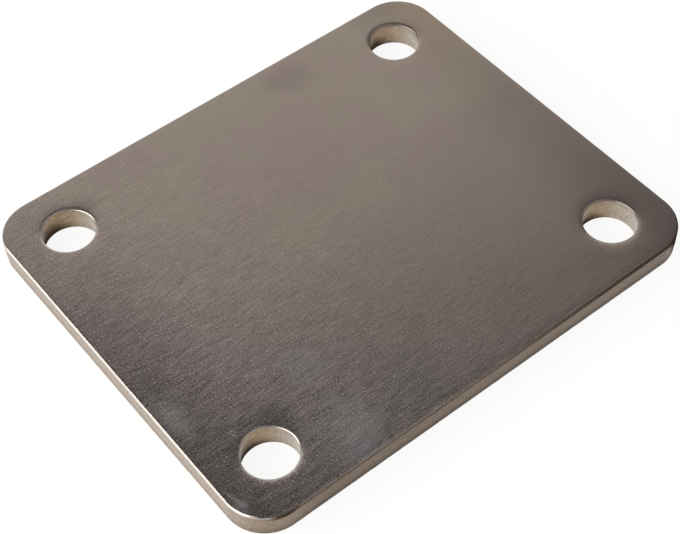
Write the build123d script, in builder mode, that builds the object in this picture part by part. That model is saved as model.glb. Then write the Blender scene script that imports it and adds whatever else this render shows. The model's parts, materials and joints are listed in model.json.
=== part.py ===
# Rectangular cover plate: one piece of steel sheet, blanked and pierced in one stroke of a
# compound die. Every sheared edge rolls over at the top face and breaks out at the underside.
# Millimetres. The origin is at the middle of the underside, X runs along the long side, Z is up.
import os
from build123d import *

# Blank
length = 60.0            # long side, along X
width = 50.0             # short side, along Y
thickness = 3.2          # sheet
corner_r = 4.75          # plan radius of the four corners

# Sheared outer wall
edge_roll_r = 0.32       # roll-over along the top edge
edge_fracture_h = 1.3    # torn zone, up from the underside
edge_fracture_deg = 2.5  # lean of the torn zone, in towards the underside
edge_break_r = 0.1       # deburred bottom edge

# Pierced holes, one in each corner
hole_d = 6.0             # burnished bore
hole_to_end = 6.75       # hole centre to the short side
hole_to_side = 6.5       # hole centre to the long side
hole_roll_w = 0.5        # roll-over round the top rim, across the face
hole_roll_h = 0.15       # and down the bore
hole_fracture_h = 1.35   # torn zone, up from the underside
hole_breakout_d = 6.3    # mouth of the torn zone at the underside

punch_overrun = 1.0      # how far the piercing tool runs past both faces

hole_r = hole_d / 2
breakout_r = hole_breakout_d / 2
hole_pitch_x = length - 2 * hole_to_end
hole_pitch_y = width - 2 * hole_to_side

# The piercing tool, with the section of a punched hole: roll-over, burnished bore, torn cone
with BuildPart() as pierced_hole:
    with BuildSketch(Plane.XZ):
        with BuildLine():
            Polyline(
                (0, -punch_overrun),
                (breakout_r, -punch_overrun),
                (breakout_r, 0),
                (hole_r, hole_fracture_h),
                (hole_r, thickness - hole_roll_h),
            )
            EllipticalCenterArc(
                (hole_r + hole_roll_w, thickness - hole_roll_h),
                x_radius=hole_roll_w,
                y_radius=hole_roll_h,
                start_angle=90,
                arc_size=90,
            )
            Polyline(
                (hole_r + hole_roll_w, thickness),
                (hole_r + hole_roll_w, thickness + punch_overrun),
                (0, thickness + punch_overrun),
                (0, -punch_overrun),
            )
        make_face()
    revolve(axis=Axis.Z)

with BuildPart() as cover_plate:
    # Burnished band, at the full size of the die
    with BuildSketch(Plane.XY.offset(edge_fracture_h)):
        RectangleRounded(length, width, corner_r)
    extrude(amount=thickness - edge_fracture_h)

    # Torn zone below it, which leans in to the underside
    torn_from = cover_plate.faces().sort_by(Axis.Z)[0]
    extrude(torn_from, amount=edge_fracture_h, taper=edge_fracture_deg)

    fillet(cover_plate.edges().group_by(Axis.Z)[-1], edge_roll_r)
    fillet(cover_plate.edges().group_by(Axis.Z)[0], edge_break_r)

    with GridLocations(hole_pitch_x, hole_pitch_y, 2, 2):
        add(pierced_hole.part, mode=Mode.SUBTRACT)

cover_plate.part.label = "cover_plate"

os.makedirs("parts", exist_ok=True)
export_step(cover_plate.part, "parts/cover_plate.step")
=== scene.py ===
import json
from math import cos, pi, radians, sin

import bmesh
import bpy
from mathutils import Matrix, Vector, noise


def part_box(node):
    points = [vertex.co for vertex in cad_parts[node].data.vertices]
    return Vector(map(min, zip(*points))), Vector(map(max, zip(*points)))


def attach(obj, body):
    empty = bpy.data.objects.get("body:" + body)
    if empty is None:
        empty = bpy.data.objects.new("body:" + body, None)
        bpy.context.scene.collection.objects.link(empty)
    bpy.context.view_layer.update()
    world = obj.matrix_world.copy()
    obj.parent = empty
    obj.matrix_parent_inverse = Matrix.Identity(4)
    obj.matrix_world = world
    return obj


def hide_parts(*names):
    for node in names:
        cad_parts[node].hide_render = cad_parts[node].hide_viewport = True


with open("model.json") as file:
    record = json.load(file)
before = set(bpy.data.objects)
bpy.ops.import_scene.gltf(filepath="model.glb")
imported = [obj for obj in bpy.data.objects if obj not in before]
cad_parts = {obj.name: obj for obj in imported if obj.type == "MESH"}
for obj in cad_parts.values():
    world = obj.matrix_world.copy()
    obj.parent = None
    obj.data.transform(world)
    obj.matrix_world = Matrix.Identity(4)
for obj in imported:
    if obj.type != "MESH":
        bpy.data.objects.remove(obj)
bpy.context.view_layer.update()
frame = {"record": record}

mm = 0.001
low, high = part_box("cover_plate")
sizeX, sizeY, sizeZ = (s / mm for s in high - low)
holeMount = next(m for m in frame["record"]["mounts"] if m["name"] == "corner_holes")["dims"]
holeX = holeMount["spacing_x_mm"] / 2
holeY = holeMount["spacing_y_mm"] / 2
print("frame loaded: plate %.1f x %.1f x %.1f mm" % (sizeX, sizeY, sizeZ))


# The plate's mesh, drawn in millimetres. Its section is lofted round the outer edge and round each hole.
outline = {
    "cornerRadius": 4.75,
    "cornerSteps": 28,
    "pitch": 0.22,          # spacing of the points along a straight side
    "rollWidth": 0.27,      # roll-over, across the face
    "rollDrop": 0.30,       # and down the wall
    "cornerGain": 0.05,     # the roll-over grows this much round a corner
    "sagReach": 1.1,        # the face starts to dip this far inside the roll-over
    "sag": 0.028,
    "tornHeight": 1.3,      # torn zone, up from the underside
    "tornInset": 0.057,     # how far it draws in at the underside
    "breakEdge": 0.1,       # deburred lower edge
    "pitting": 0.03,        # depth of the torn metal's pits
    "wander": 0.16,         # share by which the roll-over's width wanders
}
hole = {
    "radius": holeMount["hole_r_mm"],
    "stepsRound": 132,
    "rollWidth": 0.5,
    "rollDrop": 0.12,
    "sagReach": 1.4,
    "sag": 0.052,
    "ridge": 0.009,         # ridges that run out from the rim
    "ridgeDensity": 11,     # a higher value packs them closer round it
    "tornHeight": 1.35,
    "tornInset": 0.15,      # here it opens out into a cone
    "breakEdge": 0.05,
    "pitting": 0.03,
    "wander": 0.12,
    "biteWay": Vector((-0.85, 0.53, 0)),   # the near right hole is torn wider on this side
    "bite": 0.28,
    "biteFocus": 8,         # a higher power makes the torn side narrower
}
section = {
    "sagRows": 5,
    "rollRows": 8,
    "burnishRows": 5,
    "tornRows": 9,
    "breakRows": 3,
    "sagPower": 3,          # the dip steepens towards the roll-over
    "sagSpacing": 1.5,      # and its rows crowd there
    "wanderPitch": 1.6,
    "pitPitch": 0.45,
    "pitShift": Vector((5, 3, 1)),
    "pitOnset": 0.3,        # share of the torn zone over which the pits set in
}
holeCentres = [Vector((sx * holeX, sy * holeY, 0)) for sx in (-1, 1) for sy in (-1, 1)]


def drawSection(part):
    # the sheared wall from the top face down, as (zone, distance back from the full size, height)
    torn = part["tornHeight"]
    edge = part["breakEdge"]
    roll = part["rollWidth"]
    reach = roll + part["sagReach"]

    def dip(back):
        return sizeZ - part["sag"] * (1 - back / reach) ** section["sagPower"]

    rows = []
    for k in range(section["sagRows"]):
        back = roll + part["sagReach"] * (1 - k / section["sagRows"]) ** section["sagSpacing"]
        rows.append(("face" if k else "flat", back, dip(back)))
    for k in range(section["rollRows"] + 1):
        turn = k / section["rollRows"] * pi / 2
        back = roll * (1 - sin(turn))
        rows.append(("roll", back, dip(back) - part["rollDrop"] * (1 - cos(turn))))
    burnish = rows[-1][2] - torn
    for k in range(1, section["burnishRows"] + 1):
        rows.append(("burnish", 0, torn + burnish * (1 - k / section["burnishRows"])))
    for k in range(1, section["tornRows"] + 1):
        share = k / section["tornRows"]
        rows.append(("torn", part["tornInset"] * share, torn + (edge - torn) * share))
    for k in range(1, section["breakRows"] + 1):
        turn = k / section["breakRows"] * pi / 2
        rows.append(("break", part["tornInset"] + edge * (1 - cos(turn)), edge * (1 - sin(turn))))
    rows.append(("flat", reach, 0))
    return rows


def roughen(part, zone, back, spot, gain=1):
    # the roll-over wanders in width, and the torn metal is pitted
    if zone in ("face", "roll"):
        inward = back / (part["rollWidth"] + part["sagReach"])
        wander = part["wander"] * noise.noise(spot / section["wanderPitch"])
        back *= 1 + (gain - 1 + wander) * (1 - inward)
    if zone in ("torn", "break"):
        depth = 0.5 + 0.5 * noise.noise(spot / section["pitPitch"] + section["pitShift"])
        back += part["pitting"] * depth * min(1, back / (part["tornInset"] * section["pitOnset"]))
    return back


def placeOnOutline(co, zone, back, z):
    # the corner arcs are struck from the corners of the core, a smaller rectangle
    radius = outline["cornerRadius"]
    coreX = sizeX / 2 - radius
    coreY = sizeY / 2 - radius
    core = Vector((max(-coreX, min(coreX, co.x)), max(-coreY, min(coreY, co.y)), 0))
    away = (Vector((co.x, co.y, 0)) - core).normalized()
    cornerShare = 2 * abs(away.x * away.y)
    spot = core + away * radius + Vector((0, 0, z))
    return spot - away * roughen(outline, zone, back, spot, 1 + outline["cornerGain"] * cornerShare)


def placeOnHole(centre, co, zone, back, z):
    away = (Vector((co.x, co.y, 0)) - centre).normalized()
    spot = centre + away * hole["radius"] + Vector((0, 0, z))
    if zone in ("torn", "break") and centre.x > 0 > centre.y:
        facing = max(0, away.dot(hole["biteWay"])) ** hole["biteFocus"]
        back += hole["bite"] * facing * (1 - z / hole["tornHeight"])
    if zone in ("face", "roll"):
        inward = back / (hole["rollWidth"] + hole["sagReach"])
        ridges = 1 + noise.noise(away * hole["ridgeDensity"] + centre)
        spot.z -= hole["ridge"] * ridges * (1 - inward) ** 2
    return spot + away * roughen(hole, zone, back, spot)


def loftDown(bm, ring, rows, place):
    # draws the ring of edges out row by row, and returns the first and the last ring
    first = ring
    for v in {v for e in ring for v in e.verts}:
        v.co = place(v.co.copy(), *rows[0])
    for row in rows[1:]:
        drawn = bmesh.ops.extrude_edge_only(bm, edges=ring)["geom"]
        for v in [g for g in drawn if isinstance(g, bmesh.types.BMVert)]:
            v.co = place(v.co.copy(), *row)
        for f in [g for g in drawn if isinstance(g, bmesh.types.BMFace)]:
            f.material_index = 1 if row[0] in ("burnish", "torn", "break") else 0
        ring = [g for g in drawn if isinstance(g, bmesh.types.BMEdge)]
    return first, ring


def makePlate():
    bm = bmesh.new()
    # a rectangle, its corners bevelled round and its sides cut to the pitch
    grid = bmesh.ops.create_grid(bm, x_segments=1, y_segments=1, size=0.5)
    bmesh.ops.scale(bm, verts=grid["verts"], vec=(sizeX, sizeY, 1))
    bmesh.ops.bevel(bm, geom=grid["verts"], offset=outline["cornerRadius"], affect="VERTICES",
                    segments=outline["cornerSteps"], profile=0.5, material=-1)
    bmesh.ops.delete(bm, geom=bm.faces[:], context="FACES_ONLY")
    for side in [e for e in bm.edges if e.calc_length() > 2 * outline["cornerRadius"]]:
        bmesh.ops.subdivide_edges(bm, edges=[side], cuts=int(side.calc_length() / outline["pitch"]))
    topRing, underRing = loftDown(bm, bm.edges[:], drawSection(outline), placeOnOutline)

    for centre in holeCentres:
        circle = bmesh.ops.create_circle(bm, segments=hole["stepsRound"], radius=hole["radius"],
                                         matrix=Matrix.Translation(centre))["verts"]
        rim = list({e for v in circle for e in v.link_edges})
        rimTop, rimUnder = loftDown(bm, rim, drawSection(hole),
                                    lambda co, zone, back, z: placeOnHole(centre, co, zone, back, z))
        topRing, underRing = topRing + rimTop, underRing + rimUnder

    for f in bm.faces:
        f.smooth = True
    for ring in (topRing, underRing):
        bmesh.ops.triangle_fill(bm, edges=ring, use_beauty=True, use_dissolve=False)
    bmesh.ops.recalc_face_normals(bm, faces=bm.faces[:])
    bmesh.ops.scale(bm, verts=bm.verts[:], vec=(mm, mm, mm))
    openEdges = sum(len(e.link_faces) != 2 for e in bm.edges)
    mesh = bpy.data.meshes.new("coverPlate")
    bm.to_mesh(mesh)
    bm.free()
    piece = bpy.data.objects.new("coverPlate", mesh)
    bpy.context.scene.collection.objects.link(piece)
    print("plate mesh:", len(mesh.polygons), "faces,", openEdges, "open edges")
    return piece


# Nodes
def addNode(tree, kind, inputs=None, **settings):
    # an input is linked if it is given as a socket, and is set to the value otherwise
    made = tree.nodes.new("ShaderNode" + kind)
    for key, value in settings.items():
        setattr(made, key, value)
    for key, value in (inputs or {}).items():
        if isinstance(value, bpy.types.NodeSocket):
            tree.links.new(value, made.inputs[key])
        else:
            made.inputs[key].default_value = value
    return made


def newGroup(name, inputs, outputs):
    tree = bpy.data.node_groups.new(name, "ShaderNodeTree")
    kinds = {"vector": "NodeSocketVector", "float": "NodeSocketFloat"}
    for key, kind, value in inputs:
        socket = tree.interface.new_socket(key, in_out="INPUT", socket_type=kinds[kind])
        if value is not None:
            socket.default_value = value
    for key in outputs:
        tree.interface.new_socket(key, in_out="OUTPUT", socket_type=kinds["float"])
    start = tree.nodes.new("NodeGroupInput")
    end = tree.nodes.new("NodeGroupOutput")
    return tree, start.outputs, end.inputs


def useGroup(tree, name, inputs):
    return addNode(tree, "Group", inputs, node_tree=groups[name]).outputs


def maths(tree, operation, a, b=0.0, c=0.0):
    return addNode(tree, "Math", {0: a, 1: b, 2: c}, operation=operation).outputs[0]


def product(tree, *values):
    result = values[0]
    for value in values[1:]:
        result = maths(tree, "MULTIPLY", result, value)
    return result


def vectorMaths(tree, operation, a, b=(0, 0, 0)):
    second = "Scale" if operation == "SCALE" else 1
    made = addNode(tree, "VectorMath", {0: a, second: b}, operation=operation)
    return made.outputs["Value" if operation in ("DOT_PRODUCT", "LENGTH", "DISTANCE") else "Vector"]


def ramp(tree, value, start, end, first=0.0, last=1.0, kind="SMOOTHSTEP"):
    # runs from first to last as the value runs from start to end
    inputs = {"Value": value, "From Min": start, "From Max": end, "To Min": first, "To Max": last}
    return addNode(tree, "MapRange", inputs, interpolation_type=kind).outputs["Result"]


def cloudNoise(tree, vector, scale, detail, roughness=0.5):
    inputs = {"Vector": vector, "Scale": scale, "Detail": detail, "Roughness": roughness}
    return addNode(tree, "TexNoise", inputs).outputs["Fac"]


def mixColour(tree, factor, a, b):
    return addNode(tree, "Mix", {0: factor, 6: a, 7: b}, data_type="RGBA").outputs[2]


def splitAxes(tree, vector):
    return addNode(tree, "SeparateXYZ", {0: vector}).outputs


# Node groups. Each takes a Vector in millimetres. A ramp's values are start, end, first and last.
def grainGroup():
    # short dashes in rows, broken up by finer grit; Dash and Grit are the sizes of their cells
    tree, start, end = newGroup("grain", [
        ("Vector", "vector", None),
        ("Dash", "vector", (1, 0.2, 0.2)),
        ("Grit", "vector", (0.2, 0.2, 0.2)),
        ("Grit Share", "float", 0.5),
    ], ["Height", "Coarse", "Fine"])
    heights = []
    for key, seed in (("Dash", 0.0), ("Grit", 7.0)):
        cell = vectorMaths(tree, "DIVIDE", start["Vector"], start[key])
        inputs = {"Vector": cell, "W": seed, "Scale": 1, "Detail": 1.5, "Roughness": 0.6}
        heights.append(addNode(tree, "TexNoise", inputs, noise_dimensions="4D").outputs["Fac"])
    both = addNode(tree, "Mix", {0: start["Grit Share"], 2: heights[0], 3: heights[1]}, data_type="FLOAT")
    tree.links.new(both.outputs[0], end["Height"])
    tree.links.new(heights[0], end["Coarse"])
    tree.links.new(heights[1], end["Fine"])
    return tree


patch = {
    "cloud": (0.35, 4, 0.65),        # scale, detail and roughness
    "edge": (1.0, 0.1),
}


def patchGroup():
    # a soft blot with a broken edge
    tree, start, end = newGroup("patch", [
        ("Vector", "vector", None),
        ("Centre", "vector", (0, 0, 0)),
        ("Reach", "vector", (5, 5, 5)),
        ("Break", "float", 0.5),
    ], ["Mask"])
    off = vectorMaths(tree, "SUBTRACT", start["Vector"], start["Centre"])
    away = vectorMaths(tree, "LENGTH", vectorMaths(tree, "DIVIDE", off, start["Reach"]))
    cloud = maths(tree, "SUBTRACT", cloudNoise(tree, start["Vector"], *patch["cloud"]), 0.5)
    broken = maths(tree, "MULTIPLY_ADD", cloud, start["Break"], away)
    tree.links.new(ramp(tree, broken, *patch["edge"]), end["Mask"])
    return tree


def scratchGroup():
    # one straight scratch from Start to End
    tree, start, end = newGroup("scratch", [
        ("Vector", "vector", None),
        ("Start", "vector", (0, 0, 0)),
        ("End", "vector", (1, 0, 0)),
        ("Width", "float", 0.08),
    ], ["Mask"])
    along = vectorMaths(tree, "SUBTRACT", start["End"], start["Start"])
    to = vectorMaths(tree, "SUBTRACT", start["Vector"], start["Start"])
    dotTo = vectorMaths(tree, "DOT_PRODUCT", to, along)
    dotAll = vectorMaths(tree, "DOT_PRODUCT", along, along)
    share = addNode(tree, "Clamp", {"Value": maths(tree, "DIVIDE", dotTo, dotAll)}).outputs[0]
    gap = vectorMaths(tree, "DISTANCE", to, vectorMaths(tree, "SCALE", along, share))
    tree.links.new(ramp(tree, maths(tree, "DIVIDE", gap, start["Width"]), 1.0, 0.2), end["Mask"])
    return tree


cornerShade = {
    "cloud": (1.1, 3),               # scale and detail
    "climb": 0.6,                    # it reaches further left higher up
    "reach": (27.3, 28.8, 0, 0.97),  # along X
    "front": (-20, -22),             # along Y
}


def cornerShadeGroup():
    # painted shade on the wall and the roll-over of the near right corner, where they mirror the shadowed
    # floor
    tree, start, end = newGroup("cornerShade", [("Vector", "vector", None)], ["Mask"])
    axes = splitAxes(tree, start["Vector"])
    cloud = cloudNoise(tree, start["Vector"], *cornerShade["cloud"])
    reach = maths(tree, "MULTIPLY_ADD", axes["Z"], cornerShade["climb"], axes["X"])
    reach = maths(tree, "ADD", cloud, reach)
    front = ramp(tree, axes["Y"], *cornerShade["front"])
    tree.links.new(product(tree, ramp(tree, reach, *cornerShade["reach"]), front), end["Mask"])
    return tree


shadeLine = {
    "cloud": (0.7, 3),
    "waver": 0.16,
    "lower": (2.5, 2.72),            # edges of the line, along Z
    "upper": (3.25, 3.12),
    "right": (-8, 24, 0.5, 0.9),     # strength along X
    "corner": (-22, -26, 0, 0.9),
    "front": (-24.2, -24.75),        # along Y
}


def shadeLineGroup():
    # painted shade in a line under the roll-over along the front, where it mirrors the shadowed floor
    tree, start, end = newGroup("shadeLine", [("Vector", "vector", None)], ["Mask"])
    axes = splitAxes(tree, start["Vector"])
    cloud = cloudNoise(tree, start["Vector"], *shadeLine["cloud"])
    height = maths(tree, "MULTIPLY_ADD", cloud, shadeLine["waver"], axes["Z"])
    band = product(tree, ramp(tree, height, *shadeLine["lower"]), ramp(tree, height, *shadeLine["upper"]))
    right = ramp(tree, axes["X"], *shadeLine["right"])
    share = maths(tree, "MAXIMUM", right, ramp(tree, axes["X"], *shadeLine["corner"]))
    mask = product(tree, band, share, ramp(tree, axes["Y"], *shadeLine["front"]))
    tree.links.new(mask, end["Mask"])
    return tree


groups = {
    "grain": grainGroup(),
    "patch": patchGroup(),
    "scratch": scratchGroup(),
    "cornerShade": cornerShadeGroup(),
    "shadeLine": shadeLineGroup(),
}
black = (0, 0, 0, 1)


# Materials
def startMaterial(name):
    mat = bpy.data.materials.new(name)
    mat.use_nodes = True
    tree = mat.node_tree
    inMm = vectorMaths(tree, "SCALE", addNode(tree, "TexCoord").outputs["Object"], 1 / mm)
    return mat, tree, inMm


def finishMaterial(tree, colour, paintedShadeMask, roughness, height, depth):
    # painted shade is laid in as a stain that isn't metal and has no sheen of its own
    shader = tree.nodes["Principled BSDF"]
    bump = addNode(tree, "Bump", {"Height": height, "Distance": depth, "Strength": 1.0})
    tree.links.new(colour, shader.inputs["Base Color"])
    tree.links.new(maths(tree, "SUBTRACT", 1.0, paintedShadeMask), shader.inputs["Metallic"])
    tree.links.new(roughness, shader.inputs["Roughness"])
    tree.links.new(bump.outputs["Normal"], shader.inputs["Normal"])
    shader.inputs["Specular IOR Level"].default_value = 0


def patchMask(tree, at, centre, reach, broken):
    return useGroup(tree, "patch", {"Vector": at, "Centre": centre, "Reach": reach, "Break": broken})["Mask"]


sheetFace = {
    "olive": (0.338, 0.2915, 0.247, 1),
    "plum": (0.346, 0.2875, 0.256, 1),
    "cool": (0.334, 0.286, 0.276, 1),
    "tea": (0.320, 0.245, 0.180, 1),
    "smudge": (0.50, 0.49, 0.485, 1),
    "spark": (0.85, 0.82, 0.79, 1),
    "wearAndHighlight": (0.80, 0.74, 0.67, 1),
    "paintedShade": (0.10, 0.075, 0.055, 1),
    "cloud": (0.09, 3, 0.6),             # scale, detail and roughness
    "plumCloud": (0.40, 0.57),
    "nearLeft": (-0.85, -0.6, 0),
    "coolReach": (0, 30),                # towards the near left
    "teaWaver": 12.0,
    "teaX": (28, 36, 0, 0.7),
    "teaY": (4, 20),
    # painted shade along both short sides of the face, most of all towards the front
    "shadeLeftX": (-18, -29),
    "shadeLeftY": (22, 4, 0.08, 0.28),
    "shadeRightX": (18, 29),
    "shadeRightY": (18, 2, 0.02, 0.19),
    "shadeRightNearY": (-6, -17, 0, 0.1),
    "grainCells": {"Dash": (1.7, 0.17, 0.3), "Grit": (0.2, 0.155, 0.2), "Grit Share": 0.6},
    "grainReach": (-32, 26),             # towards the near left
    "grainPower": 2.2,
    "grainDepth": 0.008 * mm,
    "dashTone": 1.7,
    "gritTone": 2.5,
    "smudgeGrain": (0.3, 0.65),
    "smudgeLeast": 0.4,
    "sparkGrain": (0.61, 0.73),
    "scratchShare": 0.8,
    # painted highlight on the worn roll-over, strongest on the left and faded towards the right and round the
    # near corner
    "wearAndHighlightWaver": 0.08,
    "wearAndHighlightZ": (3.19, 3.11),
    "wearAndHighlightX": (0, 18, 0.85, 0.3),
    "wearAndHighlightY": (-22.0, -24.3, 1, 0.35),
    "paintedShadeZ": (3.19, 3.1),
    "roughness": (0.3, 0.7, 0.22, 0.28),
    # darker blots on the face: the two just outside the near and left holes' rims are painted shade where the
    # face dips towards the bore, the others are darker patches
    "paintedShadeAndDarkBlots": [
        # centre, reach, broken edge, strength
        ((-20.3, -15.2, 3.2), (2.8, 3.2, 3), 0.8, 0.28),
        ((-28.2, -4.0, 3.2), (2.6, 4.0, 3), 0.8, 0.15),
        ((-20.2, 20.5, 3.2), (2.2, 2.6, 3), 0.8, 0.14),
        ((9.5, 21.8, 3.2), (5.0, 3.4, 3), 1.0, 0.13),
        ((25.0, 24.0, 3.2), (6.0, 2.4, 3), 1.0, 0.14),
    ],
    "smudges": [
        # centre, reach, broken edge, strength
        ((-15.2, -22.0, 3.2), (4.6, 5.5, 3), 1.6, 0.75),
        ((-28.5, -9.3, 3.2), (2.0, 4.2, 3), 1.2, 0.6),
        ((-29.2, -21.6, 3.2), (1.2, 1.6, 3), 1.0, 0.7),
        ((-14.3, -12.6, 3.2), (3.0, 3.6, 3), 1.2, 0.26),
    ],
    "scratches": [
        # start, end, width
        ((-29.4, -19.3, 3.2), (-28.9, -21.7, 3.2), 0.05),
        ((-29.15, -19.6, 3.2), (-28.6, -22.0, 3.2), 0.04),
        ((-25.2, -14.0, 3.2), (-24.7, -14.9, 3.2), 0.05),
        ((-24.9, -13.9, 3.2), (-24.5, -14.6, 3.2), 0.05),
    ],
}


def faceMaterial():
    look = sheetFace
    mat, tree, at = startMaterial("sheetFace")
    axes = splitAxes(tree, at)
    # warm and cool clouds under the plating, browner at the far right edge
    cloud = cloudNoise(tree, at, *look["cloud"])
    colour = mixColour(tree, ramp(tree, cloud, *look["plumCloud"]), look["olive"], look["plum"])
    lean = vectorMaths(tree, "DOT_PRODUCT", at, look["nearLeft"])
    colour = mixColour(tree, ramp(tree, lean, *look["coolReach"]), colour, look["cool"])
    rightEdge = maths(tree, "MULTIPLY_ADD", cloud, look["teaWaver"], axes["X"])
    tea = product(tree, ramp(tree, rightEdge, *look["teaX"]), ramp(tree, axes["Y"], *look["teaY"]))
    colour = mixColour(tree, tea, colour, look["tea"])
    # painted shade: darker along both short sides, and most so towards the front, where the face mirrors
    # darker parts of the room
    left = product(tree, ramp(tree, axes["X"], *look["shadeLeftX"]), ramp(tree, axes["Y"], *look["shadeLeftY"]))
    right = maths(tree, "ADD", ramp(tree, axes["Y"], *look["shadeRightY"]),
                  ramp(tree, axes["Y"], *look["shadeRightNearY"]))
    right = product(tree, ramp(tree, axes["X"], *look["shadeRightX"]), right)
    colour = mixColour(tree, maths(tree, "ADD", left, right), colour, black)
    # darker blots mixed towards black, painted shade beside the holes
    for centre, reach, broken, strength in look["paintedShadeAndDarkBlots"]:
        mask = patchMask(tree, at, centre, reach, broken)
        colour = mixColour(tree, product(tree, mask, strength), colour, black)
    # the grain is strongest towards the near left
    grain = useGroup(tree, "grain", {"Vector": at, **look["grainCells"]})
    depth = maths(tree, "POWER", ramp(tree, lean, *look["grainReach"], kind="LINEAR"), look["grainPower"])
    tone = product(tree, maths(tree, "SUBTRACT", grain["Coarse"], 0.5), look["dashTone"])
    tone = maths(tree, "MULTIPLY_ADD", maths(tree, "SUBTRACT", grain["Fine"], 0.5), look["gritTone"], tone)
    tone = maths(tree, "MULTIPLY_ADD", tone, depth, 1.0)
    colour = vectorMaths(tree, "SCALE", colour, tone)
    for centre, reach, broken, strength in look["smudges"]:
        streaks = ramp(tree, grain["Height"], *look["smudgeGrain"], look["smudgeLeast"] * strength, strength)
        mask = product(tree, patchMask(tree, at, centre, reach, broken), streaks)
        colour = mixColour(tree, mask, colour, look["smudge"])
    # bright specks on the tops of the grain, and scratches down to clean metal
    specks = product(tree, ramp(tree, grain["Fine"], *look["sparkGrain"]), depth)
    colour = mixColour(tree, specks, colour, look["spark"])
    for begin, finish, width in look["scratches"]:
        line = {"Vector": at, "Start": begin, "End": finish, "Width": width}
        mask = useGroup(tree, "scratch", line)["Mask"]
        colour = mixColour(tree, product(tree, mask, look["scratchShare"]), colour, look["spark"])
    # the roll-over is worn bright and carries a painted highlight, strongest on the left edge and faded
    # towards the right and round the near corner; painted shade lies under it along the front
    height = maths(tree, "MULTIPLY_ADD", grain["Fine"], look["wearAndHighlightWaver"], axes["Z"])
    wearAndHighlight = product(tree, ramp(tree, height, *look["wearAndHighlightZ"]), ramp(tree, axes["X"], *look["wearAndHighlightX"]),
                   ramp(tree, axes["Y"], *look["wearAndHighlightY"]))
    colour = mixColour(tree, wearAndHighlight, colour, look["wearAndHighlight"])
    # painted shade, laid in as dark non-metal: at the near right corner and in a line under the front
    # roll-over
    corner = useGroup(tree, "cornerShade", {"Vector": at})["Mask"]
    line = useGroup(tree, "shadeLine", {"Vector": at})["Mask"]
    paintedShade = maths(tree, "MAXIMUM", product(tree, corner, ramp(tree, axes["Z"], *look["paintedShadeZ"])), line)
    colour = mixColour(tree, paintedShade, colour, look["paintedShade"])
    finishMaterial(tree, colour, paintedShade, ramp(tree, cloud, *look["roughness"]),
                   product(tree, grain["Height"], depth), look["grainDepth"])
    return mat


shearedWall = {
    "beige": (0.405, 0.315, 0.245, 1),
    # painted shade: the front wall's darker brown stands in for the shadowed floor it mirrors
    "front": (0.158, 0.110, 0.074, 1),
    "bore": (0.485, 0.425, 0.36, 1),
    # painted shade: the bores' left side, turned away from the lamp
    "boreShadeBrown": (0.30, 0.215, 0.135, 1),
    # painted shade, darkest: low in the bores' left side, at the near right corner and under the front
    # roll-over
    "deepShade": (0.12, 0.075, 0.045, 1),
    "broadCloud": (0.8, 3),              # scale and detail
    "frontY": (-23.5, -24.6),            # the front wall begins here
    "turnX": (-28, -21, 0, 0.5),         # beige turns brown round the near corner
    "turnY": (-21.0, -24.6, 0, 0.5),
    "middleFoot": (0.3, 1.1),            # the middle of the height is the palest
    "middleHead": (3.0, 2.5),
    "heightShade": 0.38,
    "footShadeZ": (1.0, 0.25, 0, 0.16),
    "inBore": (3.9, 3.5),                # distance from a hole's axis
    "shadeWay": (-0.24, 0.22, 0),
    "shadeWaver": 0.3,
    "shadeSide": (-0.9, 0.75),
    "deepShadeClimb": -0.38,
    "deepShadeSide": (-0.2, 0.9, 0, 0.9),
    "lineCells": {"Dash": (1.2, 1.2, 0.2), "Grit": (0.28, 0.28, 0.5), "Grit Share": 0.55},
    "lineTone": 1.6,
    "lineDepth": 0.012 * mm,
    "tornWaver": 0.8,
    "tornZ": (2.0, 1.5),
    "roughness": (0, 1, 0.30, 0.46),
}


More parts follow.
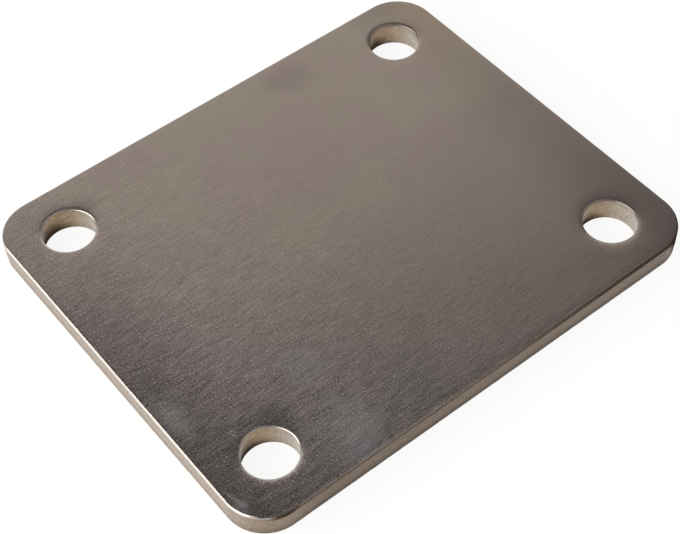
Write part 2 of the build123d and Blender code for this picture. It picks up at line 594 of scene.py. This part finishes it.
def wallMaterial():
    look = shearedWall
    mat, tree, at = startMaterial("shearedWall")
    axes = splitAxes(tree, at)
    broad = cloudNoise(tree, at, *look["broadCloud"])
    # beige on the left; painted shade makes the wall darker and browner round the near corner and along the
    # front, where it mirrors the shadowed floor
    onFront = ramp(tree, axes["Y"], *look["frontY"])
    turn = maths(tree, "MULTIPLY_ADD", ramp(tree, axes["X"], *look["turnX"]), onFront,
                 ramp(tree, axes["Y"], *look["turnY"]))
    outer = mixColour(tree, turn, look["beige"], look["front"])
    # painted shade: round the near corner and along the front the wall is darker above and below the middle
    # of its height
    foot = ramp(tree, axes["Z"], *look["middleFoot"])
    middle = product(tree, foot, ramp(tree, axes["Z"], *look["middleHead"]))
    heightShade = product(tree, maths(tree, "MULTIPLY_ADD", middle, -look["heightShade"], look["heightShade"]), turn)
    outer = mixColour(tree, heightShade, outer, black)
    # painted shade: every outer wall darkens towards its foot
    outer = mixColour(tree, ramp(tree, axes["Z"], *look["footShadeZ"]), outer, black)
    # the bores are pale on the right and carry painted shade on the left, browner and darkest low down, for
    # the side turned away from the lamp
    folded = []
    for axis, pitch in (("X", holeX), ("Y", holeY)):
        folded.append(maths(tree, "MULTIPLY_ADD", maths(tree, "SIGN", axes[axis]), -pitch, axes[axis]))
    inHole = addNode(tree, "CombineXYZ", {0: folded[0], 1: folded[1]}).outputs[0]
    inBore = ramp(tree, vectorMaths(tree, "LENGTH", inHole), *look["inBore"])
    side = vectorMaths(tree, "DOT_PRODUCT", inHole, look["shadeWay"])
    side = maths(tree, "MULTIPLY_ADD", broad, look["shadeWaver"], side)
    bore = mixColour(tree, ramp(tree, side, *look["shadeSide"]), look["bore"], look["boreShadeBrown"])
    deepShadeReach = maths(tree, "MULTIPLY_ADD", axes["Z"], look["deepShadeClimb"], side)
    deepShade = product(tree, ramp(tree, deepShadeReach, *look["deepShadeSide"]), inBore)
    # painted shade from the bores, the near right corner and the front line, laid in as dark non-metal
    corner = useGroup(tree, "cornerShade", {"Vector": at})["Mask"]
    line = useGroup(tree, "shadeLine", {"Vector": at})["Mask"]
    paintedShadeMask = maths(tree, "MAXIMUM", maths(tree, "MAXIMUM", deepShade, corner), line)
    colour = mixColour(tree, paintedShadeMask, mixColour(tree, inBore, outer, bore), look["deepShade"])
    # lines that the die drew round the wall, and shear marks down it
    lines = useGroup(tree, "grain", {"Vector": at, **look["lineCells"]})
    tone = maths(tree, "MULTIPLY_ADD", maths(tree, "SUBTRACT", lines["Height"], 0.5), look["lineTone"], 1.0)
    colour = vectorMaths(tree, "SCALE", colour, tone)
    torn = ramp(tree, maths(tree, "MULTIPLY_ADD", broad, look["tornWaver"], axes["Z"]), *look["tornZ"])
    roughness = ramp(tree, torn, *look["roughness"])
    finishMaterial(tree, colour, paintedShadeMask, roughness, lines["Height"], look["lineDepth"])
    return mat


# Stage, light and camera
def wayTo(azimuth, elevation):
    # the unit vector that points there
    return Vector((cos(azimuth) * cos(elevation), sin(azimuth) * cos(elevation), sin(elevation)))


card = {
    "reach": 8.0,              # metres each way
    "gap": 0.02 * mm,
    "colour": (0.15, 0.15, 0.149, 1),
    "glow": 0.9,               # keeps the card white where the camera and the metal look at it
}


def makeFloor():
    bm = bmesh.new()
    bmesh.ops.create_grid(bm, x_segments=1, y_segments=1, size=card["reach"],
                          matrix=Matrix.Translation((0, 0, low.z - card["gap"])))
    mesh = bpy.data.meshes.new("floor")
    bm.to_mesh(mesh)
    bm.free()
    floor = bpy.data.objects.new("floor", mesh)
    bpy.context.scene.collection.objects.link(floor)
    mat = bpy.data.materials.new("paleCard")
    mat.use_nodes = True
    tree = mat.node_tree
    shader = tree.nodes["Principled BSDF"]
    path = addNode(tree, "LightPath").outputs
    seen = maths(tree, "MAXIMUM", path["Is Camera Ray"], path["Is Glossy Ray"])
    seen = maths(tree, "MAXIMUM", seen, path["Is Transmission Ray"])
    tree.links.new(product(tree, seen, card["glow"]), shader.inputs["Emission Strength"])
    shader.inputs["Emission Color"].default_value = (1, 1, 1, 1)
    shader.inputs["Base Color"].default_value = card["colour"]
    shader.inputs["Roughness"].default_value = 1
    shader.inputs["Specular IOR Level"].default_value = 0
    mesh.materials.append(mat)


sky = {
    "room": (0.236, 0.236, 0.240, 1),
    "areas": [
        # colour, azimuth, elevation, cosine from its middle at its outer and inner edge
        ((0.09, 0.09, 0.09, 1), -30, 8, (0.70, 0.90)),        # an unlit part of the room, low down
        ((0.44, 0.42, 0.40, 1), -50, 56, (0.8, 0.95)),        # a paler patch above it
        ((0.85, 0.832, 0.808, 1), 65.9, 16, (0.775, 0.81)),   # one pale wall behind the plate
    ],
}


def makeWorld():
    world = bpy.data.worlds.new("studio")
    bpy.context.scene.world = world
    world.use_nodes = True
    tree = world.node_tree
    tree.nodes.clear()
    way = addNode(tree, "TexCoord").outputs["Generated"]
    colour = sky["room"]
    for tint, azimuth, elevation, edge in sky["areas"]:
        middle = wayTo(radians(azimuth), radians(elevation))
        near = vectorMaths(tree, "DOT_PRODUCT", way, middle)
        colour = mixColour(tree, ramp(tree, near, *edge), colour, tint)
    back = addNode(tree, "Background", {"Color": colour, "Strength": 1.0})
    addNode(tree, "OutputWorld", {"Surface": back.outputs["Background"]})


leftBox = {
    "azimuth": radians(168),
    "elevation": radians(27),
    "distance": 0.8,
    "size": (1.15, 0.75),
    "radiance": 2.9,
    "colour": (1.0, 0.96, 0.9),
}


def makeLamp():
    way = wayTo(leftBox["azimuth"], leftBox["elevation"])
    data = bpy.data.lights.new("leftBox", "AREA")
    data.shape = "RECTANGLE"
    data.size, data.size_y = leftBox["size"]
    data.color = leftBox["colour"]
    # the power that gives the lamp this radiance
    data.energy = leftBox["radiance"] * pi * leftBox["size"][0] * leftBox["size"][1]
    lamp = bpy.data.objects.new("leftBox", data)
    lamp.location = way * leftBox["distance"]
    lamp.rotation_euler = way.to_track_quat("Z", "Y").to_euler()
    bpy.context.scene.collection.objects.link(lamp)


shot = {
    "azimuth": radians(-36.36 - 90),
    "elevation": radians(51.43),
    "roll": radians(-2.65),
    "distance": 168.7 * mm,
    "aim": Vector((-3.48, -4.69, 0)) * mm,   # from the middle of the top face
    "lens": 83.155,
    "clipStart": 5 * mm,
}


def makeCamera():
    back = wayTo(shot["azimuth"], shot["elevation"])
    data = bpy.data.cameras.new("camera")
    data.lens = shot["lens"]
    data.clip_start = shot["clipStart"]
    camera = bpy.data.objects.new("camera", data)
    aim = Vector((0, 0, high.z)) + shot["aim"]
    turn = (-back).to_track_quat("-Z", "Y").to_matrix() @ Matrix.Rotation(shot["roll"], 3, "Z")
    camera.matrix_world = Matrix.Translation(aim + back * shot["distance"]) @ turn.to_4x4()
    bpy.context.scene.collection.objects.link(camera)
    bpy.context.scene.camera = camera


piece = makePlate()
piece.data.materials.append(faceMaterial())
piece.data.materials.append(wallMaterial())
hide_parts("cover_plate")
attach(piece, "root")
print("materials set")

makeFloor()
makeWorld()
makeLamp()
makeCamera()
bpy.context.scene.view_settings.view_transform = "Standard"
print("stage, light and camera set")
